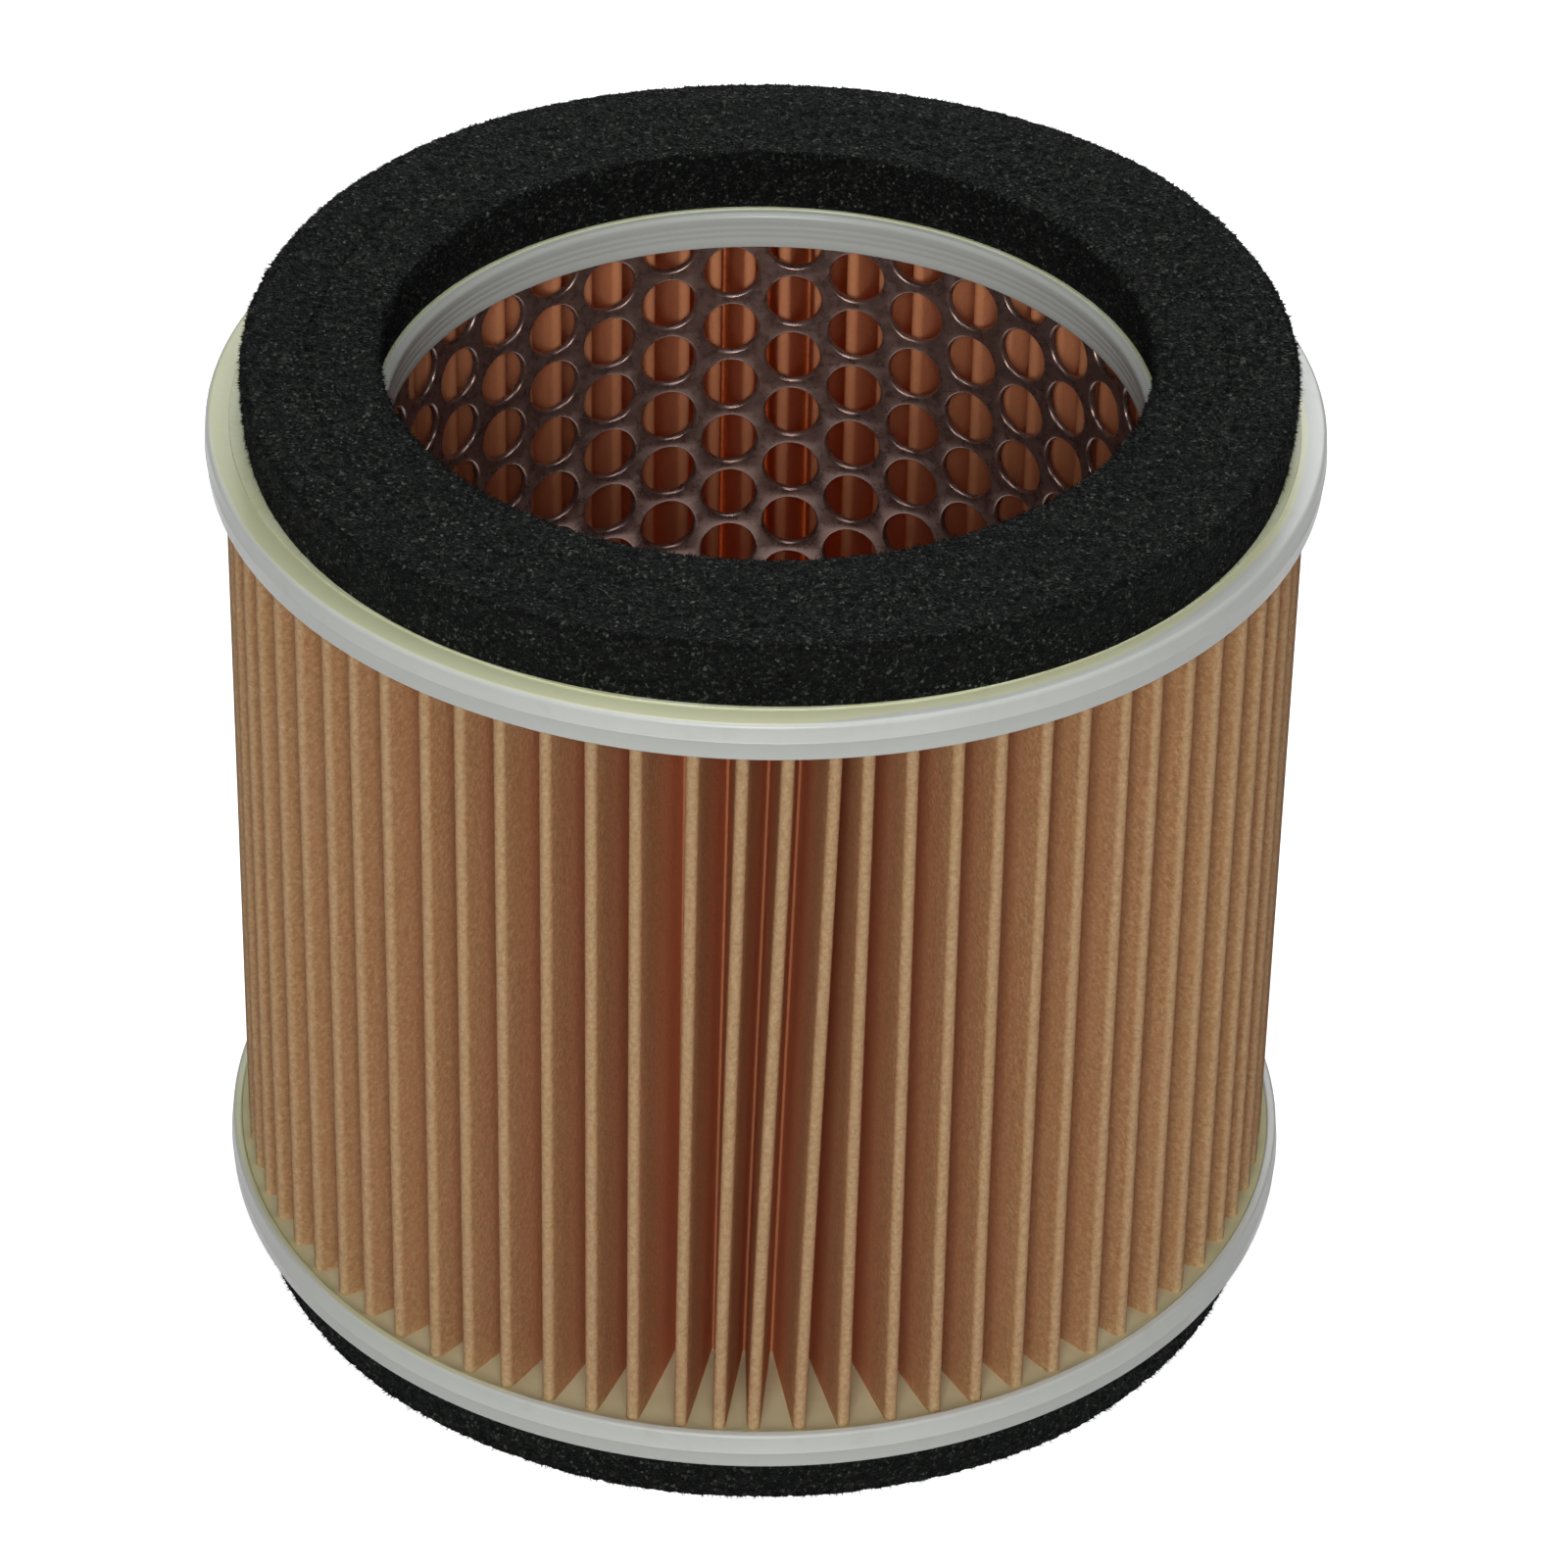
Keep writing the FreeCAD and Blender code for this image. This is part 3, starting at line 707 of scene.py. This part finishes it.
def paper_pack(bottom, lean):
    """The folded pack: its faces are swept up through the levels, and its cut edges closed."""
    levels = []
    for level in range(PACK_LEVELS):
        up = level / (PACK_LEVELS - 1)
        bent = 0.5 - 0.5 * math.cos(math.pi * up)
        eased = (1.0 - LEAN_EASING) * up + LEAN_EASING * bent
        left, right = paper_section(bottom + lean * eased)
        z = PACK_BOTTOM + (PACK_TOP - PACK_BOTTOM) * up
        loop = np.vstack([left, right[::-1]])
        levels.append(np.column_stack([loop, np.full(len(loop), z)]))
    ring = len(levels[0])
    faces = grid_faces(PACK_LEVELS, ring, False, True).tolist()
    for base in (0, (PACK_LEVELS - 1) * ring):
        for i in range(len(left) - 1):
            faces.append([base + i, base + i + 1, base + ring - 2 - i, base + ring - 1 - i])
    piece = make_object("paper_pack", np.vstack(levels), faces, PAPER, crease_degrees=60.0)
    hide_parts("pleated_element")
    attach(piece, "root")


def seam_glue_line(bottom):
    """The glue between the first and the last leaf."""
    outline = []
    centres = fold_centres(bottom)
    first = leaf_normal(centres[0], centres[1], False)
    last = leaf_normal(centres[-2], centres[-1], False)
    sides = (
        (centres[0] + first * FOLD_INSIDE, centres[1] - first * FOLD_OUTSIDE),
        (centres[-2] + last * FOLD_OUTSIDE, centres[-1] - last * FOLD_INSIDE),
    )
    for inner, outer in sides:
        step = (outer - inner) * SEAM_GLUE_MARGIN
        outline.append([inner + step, outer - step])
    loop = [outline[0][0], outline[0][1], outline[1][1], outline[1][0]]
    heights = np.linspace(PACK_BOTTOM, PACK_TOP, SEAM_GLUE_LEVELS)
    points = [(x, y, z) for z in heights for x, y in loop]
    faces = grid_faces(len(heights), 4, False, True).tolist()
    faces.append([3, 2, 1, 0])
    faces.append([len(points) - 4 + v for v in range(4)])
    piece = make_object("pleat_seam_glue", points, faces, SEAM)
    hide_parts("pleat_seam_adhesive")
    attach(piece, "root")


# --- Perforated core ----------------------------------------------------------------------

SIDE_STEPS = 8                      # mesh steps along each side of a hole's cell
ROLL_RADIUS = 0.30 * MM             # the punch drew the sheet down round each hole,
ROLL_DEPTH = 0.55 * MM              # most of the way through it
ROLL_STEPS = 5
BURR_RADIUS = 0.1 * MM
BURR_BEVEL = 0.3                    # share of the burr's radius cut off its corner
BOTTOM_MARGIN_POINTS = 3            # mesh points across each plain stretch of the sheet
START_POINTS = 8
END_POINTS = 3
JOGGLE_POINTS = 4
LAP_POINTS = 10
SEAM_CENTRE = MIDDLE_COLUMN + math.pi
HALF_LAP = LAP_WIDTH / 2.0 / CORE_INNER_RADIUS
JOGGLE = JOGGLE_LENGTH / CORE_INNER_RADIUS
SHEET_START = SEAM_CENTRE - TURN - HALF_LAP
SHEET_END = SEAM_CENTRE + HALF_LAP
LAP_START = SEAM_CENTRE - HALF_LAP


class SheetMesh:
    """A sheet drawn flat as (angle, height) points, then rolled up with its thickness."""

    def __init__(self):
        self.points = []
        self.known = {}
        self.faces = []
        self.holes = []

    def point(self, angle, z):
        key = (round(angle * 1e6), round(z * 1e7))
        if key not in self.known:
            self.known[key] = len(self.points)
            self.points.append((angle, z))
        return self.known[key]

    def grid(self, angles, heights):
        for a0, a1 in zip(angles, angles[1:]):
            for z0, z1 in zip(heights, heights[1:]):
                self.faces.append([self.point(a0, z0), self.point(a1, z0),
                                   self.point(a1, z1), self.point(a0, z1)])

    def hole(self, angle, z, half_angle, below, above):
        """A rectangular cell round one hole. Its outer points meet those of the next cells."""
        steps = np.linspace(-1, 1, SIDE_STEPS + 1)[:-1]
        frame_points = [(t, -1) for t in steps] + [(1, t) for t in steps]
        frame_points += [(-t, 1) for t in steps] + [(-1, -t) for t in steps]
        sides = [(a * half_angle, b * (above if b > 0 else below)) for a, b in frame_points]
        outer = [self.point(angle + turn, z + rise) for turn, rise in sides]
        directions = []
        for turn, rise in sides:
            way = np.array([turn * CORE_INNER_RADIUS, rise])
            directions.append(way / np.linalg.norm(way))
        rim = HOLE_RADIUS + ROLL_RADIUS
        inner = [self.point(angle + x * rim / CORE_INNER_RADIUS, z + y * rim)
                 for x, y in directions]
        count = len(outer)
        for i in range(count):
            j = (i + 1) % count
            self.faces.append([outer[i], outer[j], inner[j], inner[i]])
        self.holes.append((angle, z, directions, inner))


def hole_rows(column):
    """The heights of a column's hole centres, from the top down."""
    first = TOP_FACE - HOLE_TOP_OFFSET - (column % 2) * HOLE_PITCH_Z / 2.0
    return [first - row * HOLE_PITCH_Z for row in range(HOLES_PER_COLUMN)]


def flat_sheet():
    """The perforated pattern with its plain margins and the plain strips at the seam."""
    sheet = SheetMesh()
    half = HOLE_PITCH_Z / 2.0
    half_column = COLUMN_PITCH / 2.0
    steps = SIDE_STEPS // 2
    top_line = hole_rows(0)[0]
    bottom_line = hole_rows(1)[-1] - half
    top_margin = list(np.linspace(top_line, CORE_TOP, steps + 1))
    above_bottom = list(np.linspace(bottom_line, bottom_line + half, steps + 1))
    bottom_margin = list(np.linspace(CORE_BOTTOM, bottom_line, BOTTOM_MARGIN_POINTS))
    for column in range(-LAST_COLUMN, LAST_COLUMN + 1):
        angle = MIDDLE_COLUMN + column * COLUMN_PITCH
        across = list(np.linspace(angle - half_column, angle + half_column, SIDE_STEPS + 1))
        for z in hole_rows(column):
            sheet.hole(angle, z, half_column, half, min(half, CORE_TOP - z))
        sheet.grid(across, bottom_margin)
        sheet.grid(across, top_margin if column % 2 else above_bottom)
    count = int(round((top_line - bottom_line) / half)) * steps
    between = list(np.linspace(bottom_line, top_line, count + 1))
    heights = bottom_margin[:-1] + between + top_margin[1:]
    edge = (LAST_COLUMN + 0.5) * COLUMN_PITCH
    first_edge = MIDDLE_COLUMN - edge
    last_edge = MIDDLE_COLUMN + edge
    sheet.grid(list(np.linspace(SHEET_START, first_edge, START_POINTS)), heights)
    joggle_start = LAP_START - JOGGLE
    sheet.grid(list(np.linspace(last_edge, joggle_start, END_POINTS)), heights)
    sheet.grid(list(np.linspace(joggle_start, LAP_START, JOGGLE_POINTS)), heights)
    sheet.grid(list(np.linspace(LAP_START, SHEET_END, LAP_POINTS)), heights)
    return sheet


def rolled(angle, z, depth):
    """The place of a sheet point at a depth below its inner surface."""
    share = np.clip((angle - (LAP_START - JOGGLE)) / JOGGLE, 0, 1)
    radius = CORE_INNER_RADIUS + (SHEET_THICKNESS + LAP_GAP) * share + depth
    return (radius * math.cos(angle), radius * math.sin(angle), z)


def hole_wall_profile():
    """(how far outside the hole's radius, depth) down a hole's rolled and burred edge."""
    profile = []
    for k in range(1, ROLL_STEPS + 1):
        turn = k / ROLL_STEPS * math.pi / 2.0
        profile.append((ROLL_RADIUS * (1 - math.sin(turn)), ROLL_DEPTH * (1 - math.cos(turn))))
    profile.append((0.0, SHEET_THICKNESS - BURR_RADIUS))
    profile.append((BURR_RADIUS * BURR_BEVEL, SHEET_THICKNESS - BURR_RADIUS * BURR_BEVEL))
    return profile


def perforated_core():
    sheet = flat_sheet()
    count = len(sheet.points)
    points = [rolled(a, z, 0.0) for a, z in sheet.points]
    points += [rolled(a, z, SHEET_THICKNESS) for a, z in sheet.points]
    faces = [list(reversed(f)) for f in sheet.faces]
    faces += [[v + count for v in f] for f in sheet.faces]
    uses = {}
    for f in sheet.faces:
        for a, b in zip(f, f[1:] + f[:1]):
            uses[(a, b)] = True
    for angle, z, directions, rim in sheet.holes:
        last = rim
        for extra, depth in hole_wall_profile():
            reach = HOLE_RADIUS + extra
            ring = []
            for x, y in directions:
                ring.append(len(points))
                points.append(rolled(angle + x * reach / CORE_INNER_RADIUS, z + y * reach, depth))
            faces += [[last[i], last[i - 1], ring[i - 1], ring[i]] for i in range(len(ring))]
            last = ring
        ring = [v + count for v in rim]
        faces += [[last[i], last[i - 1], ring[i - 1], ring[i]] for i in range(len(ring))]
        for i in range(len(rim)):
            uses[(rim[i - 1], rim[i])] = True
            uses[(rim[i], rim[i - 1])] = True
    for a, b in list(uses):
        if (b, a) not in uses:
            faces.append([a, b, b + count, a + count])
    piece = make_object("core_tube", points, faces, STEEL, crease_degrees=50.0)
    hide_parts("perforated_core")
    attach(piece, "root")


# share of the weld's radius, and how proud its surface is there in mm
WELD_PROFILE = ((0.0, -0.02), (0.55, -0.03), (0.8, 0.03), (0.92, 0.07), (1.0, 0.02))
WELD_STEPS = 28
WELD_PROUD = 0.02 * MM


def weld_spots():
    """Spot weld nuggets, each with the shallow dish that the electrode leaves."""
    first = CORE_BOTTOM + WELD_END_MARGIN
    pitch = (CORE_TOP - WELD_END_MARGIN - first) / (WELD_COUNT - 1)
    points = []
    faces = []
    for index in range(WELD_COUNT):
        z = first + index * pitch
        for side in (0, 1):
            surface = -WELD_PROUD if side == 0 else 2 * SHEET_THICKNESS + LAP_GAP + WELD_PROUD
            out = -1 if side == 0 else 1
            rings = []
            for share, lift in WELD_PROFILE:
                ring = []
                for k in range(1 if share == 0 else WELD_STEPS):
                    turn = TURN * k / WELD_STEPS
                    angle = SEAM_CENTRE + share * WELD_RADIUS * math.cos(turn) / CORE_INNER_RADIUS
                    radius = CORE_INNER_RADIUS + surface + out * lift * MM
                    ring.append(len(points))
                    points.append((radius * math.cos(angle), radius * math.sin(angle),
                                   z + share * WELD_RADIUS * math.sin(turn)))
                rings.append(ring)
            for k in range(WELD_STEPS):
                j = (k + 1) % WELD_STEPS
                faces.append([rings[0][0], rings[1][k], rings[1][j]][::-out])
                for near, far in zip(rings[1:], rings[2:]):
                    faces.append([near[k], far[k], far[j], near[j]][::-out])
            if side == 0:
                inner_rim = rings[-1]
            else:
                for k in range(WELD_STEPS):
                    j = (k + 1) % WELD_STEPS
                    faces.append([inner_rim[k], rings[-1][k], rings[-1][j], inner_rim[j]])
    piece = make_object("weld_spots", points, faces, WELD)
    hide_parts("core_seam_welds")
    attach(piece, "root")


# --- Potting compound ---------------------------------------------------------------------

POTTING_SEGMENTS = PLEAT_COUNT * 10
POTTING_STEPS = 22
CREEP_HEIGHT = 0.62 * MM            # how far the compound creeps up the rim and the core
CREEP_REACH = 1.6 * MM
CREEP_FALL = 2.2                    # e-foldings within that reach
POTTING_SUNK = 0.1 * MM             # its surface lies this far inside the CAD height
POTTING_TWIST = 2.0


def potting_fill(name, node, floor, surface):
    """The cured compound in a cap's channel: a closed ring with a meniscus at both walls."""
    up = 1 if surface > floor else -1
    inner = CORE_INNER_RADIUS + 2 * SHEET_THICKNESS + LAP_GAP
    outer = CAP_RADIUS - RIM_WALL
    radii = np.linspace(inner, outer, POTTING_STEPS)
    near_wall = np.minimum(radii - inner, outer - radii)
    creep = CREEP_HEIGHT * np.exp(-near_wall / CREEP_REACH * CREEP_FALL)
    outline = [(r, surface + up * (c - POTTING_SUNK)) for r, c in zip(radii, creep)]
    outline += [(outer, floor), (inner, floor)]
    outline = np.array(outline)
    points, faces = lathe(outline, POTTING_SEGMENTS)
    grid = points.reshape(POTTING_SEGMENTS, -1, 3)
    angles = np.arange(POTTING_SEGMENTS) * TURN / POTTING_SEGMENTS
    ripple = np.zeros((POTTING_SEGMENTS, len(outline)))
    for waves, size in ((2, 0.08), (5, 0.06), (11, 0.06), (23, 0.05), (PLEAT_COUNT, 0.06)):
        twist = rng.uniform(-1, 1) * (outline[:, 0] - inner) / (outer - inner) * POTTING_TWIST
        ripple += size * MM * np.sin(waves * angles[:, None] + rng.uniform(0, TURN) + twist)
    on_surface = np.zeros(len(outline))
    on_surface[:POTTING_STEPS] = 1.0
    grid[:, :, 2] += up * ripple * on_surface
    if up < 0:
        faces = faces[:, ::-1]
    piece = make_object(name, grid.reshape(-1, 3), faces, POTTING,
                        crease_degrees=60.0)
    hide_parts(node)
    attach(piece, "root")


# --- Stage, light and camera --------------------------------------------------------------

CAMERA_ELEVATION = math.radians(31.96)
CAMERA_DISTANCE = 0.6678            # from the middle of the top cap's face
CAMERA_ROLL = math.radians(-0.98)
AIM_RIGHT_OF_FACE = math.radians(0.148)
AIM_BELOW_FACE = math.radians(3.228)
LENS_MM = 153.46
SENSOR_MM = 36.0
FLOOR_HALF_WIDTH = 4.0
FLOOR_GAP = 0.2 * MM                # the floor lies this far under the part


def studio_camera():
    """Looks down from the front, with the top cap's face a little left of and above the axis."""
    toward = Vector((0, math.cos(CAMERA_ELEVATION), -math.sin(CAMERA_ELEVATION)))
    right = Vector((1, 0, 0))
    upward = right.cross(toward)
    face_centre = Vector((0, 0, TOP_FACE))
    looks = Matrix((right, upward, toward))
    roll = Matrix.Rotation(CAMERA_ROLL, 3, "Z")
    aim = Vector((-math.tan(AIM_RIGHT_OF_FACE), math.tan(AIM_BELOW_FACE), 1.0))
    turn = Vector((0, 0, 1)).rotation_difference(aim).to_matrix()
    rows = turn @ roll @ looks
    columns = Matrix((rows[0], rows[1], -rows[2])).transposed()
    data = bpy.data.cameras.new("studio_camera")
    data.lens = LENS_MM
    data.sensor_width = SENSOR_MM
    data.clip_start = 0.01
    camera = bpy.data.objects.new("studio_camera", data)
    place = Matrix.Translation(face_centre - toward * CAMERA_DISTANCE)
    camera.matrix_world = place @ columns.to_4x4()
    bpy.context.scene.collection.objects.link(camera)
    bpy.context.scene.camera = camera


def area_light(name, place, target, size, power, colour=(1, 1, 1)):
    data = bpy.data.lights.new(name, "AREA")
    data.shape = "DISK"
    data.size = size
    data.energy = power
    data.color = colour
    lamp = bpy.data.objects.new(name, data)
    lamp.location = place
    lamp.rotation_euler = (Vector(target) - Vector(place)).to_track_quat("-Z", "Y").to_euler()
    bpy.context.scene.collection.objects.link(lamp)


def studio_lights():
    middle = (0, 0, 0.06)
    area_light("overhead_softbox", (0.0, -0.02, 0.75), middle, size=0.55, power=2.5,
               colour=(0.96, 0.98, 1.0))
    area_light("front_softbox", (-0.03, -0.80, 0.42), middle, size=0.45, power=5.3)
    area_light("back_softbox", (0.05, 0.80, 0.40), middle, size=0.50, power=3.2)
    world = bpy.data.worlds.new("studio")
    world.use_nodes = True
    sky = world.node_tree.nodes["Background"]
    direction = world.node_tree.nodes.new("ShaderNodeTexCoord").outputs["Generated"]
    parts = world.node_tree.nodes.new("ShaderNodeSeparateXYZ")
    world.node_tree.links.new(direction, parts.inputs[0])
    level = world.node_tree.nodes.new("ShaderNodeMapRange")
    brightness = {"From Min": -0.3, "From Max": 0.8, "To Min": 0.15, "To Max": 0.24}
    for socket, value in brightness.items():
        level.inputs[socket].default_value = value
    world.node_tree.links.new(parts.outputs["Z"], level.inputs["Value"])
    world.node_tree.links.new(level.outputs["Result"], sky.inputs["Strength"])
    bpy.context.scene.world = world
    bpy.context.scene.view_settings.view_transform = "Standard"


def studio_floor():
    s = Shader("studio_floor")
    s.surface(Base_Color=(0.92, 0.92, 0.92), Roughness=0.9, Specular_IOR_Level=0.1,
              Emission_Color=(1.0, 1.0, 1.0), Emission_Strength=0.75)
    size = FLOOR_HALF_WIDTH
    points = [(-size, -size, 0), (size, -size, 0), (size, size, 0), (-size, size, 0)]
    floor = make_object("studio_floor", points, [(0, 1, 2, 3)], s.material)
    floor.location.z = -FLOOR_GAP
    floor.visible_diffuse = False


# --- The object ---------------------------------------------------------------------------

PLASTIC = cap_plastic()
PAPER = filter_paper()
STEEL = core_steel()
WELD = weld_steel()
POTTING = potting_compound()
FOAM = gasket_foam()
GLUE = foam_glue()
SEAM = seam_glue()

end_cap("top_cap", "top_end_cap", TOP_FACE, -1)
end_cap("bottom_cap", "bottom_end_cap", BOTTOM_FACE, 1)
PLEAT_ANGLES, PLEAT_LEANS = pleat_angles()
paper_pack(PLEAT_ANGLES, PLEAT_LEANS)
seam_glue_line(PLEAT_ANGLES)
perforated_core()
weld_spots()
potting_fill("top_potting_fill", "top_potting", TOP_FACE - FACE_THICKNESS, TOP_POTTING_UNDERSIDE)
potting_fill("bottom_potting_fill", "bottom_potting", BOTTOM_FACE + FACE_THICKNESS,
             BOTTOM_POTTING_SURFACE)
foam_ring("top_foam", "top_foam_gasket", TOP_FOAM_BASE, TOP_FOAM_FREE,
          TOP_FOAM_GLUED, TOP_FOAM_CUT, TOP_FOAM_OVAL, TOP_FOAM_ASIDE, TOP_STRUTS)
foam_ring("bottom_foam", "bottom_foam_gasket", BOTTOM_FOAM_BASE, BOTTOM_FOAM_FREE,
          BOTTOM_FOAM_GLUED, BOTTOM_FOAM_CUT, BOTTOM_FOAM_OVAL, 0.0, BOTTOM_STRUTS)
glue_film("top_glue_film", "top_foam_adhesive")
glue_film("bottom_glue_film", "bottom_foam_adhesive")

studio_floor()
studio_lights()
studio_camera()
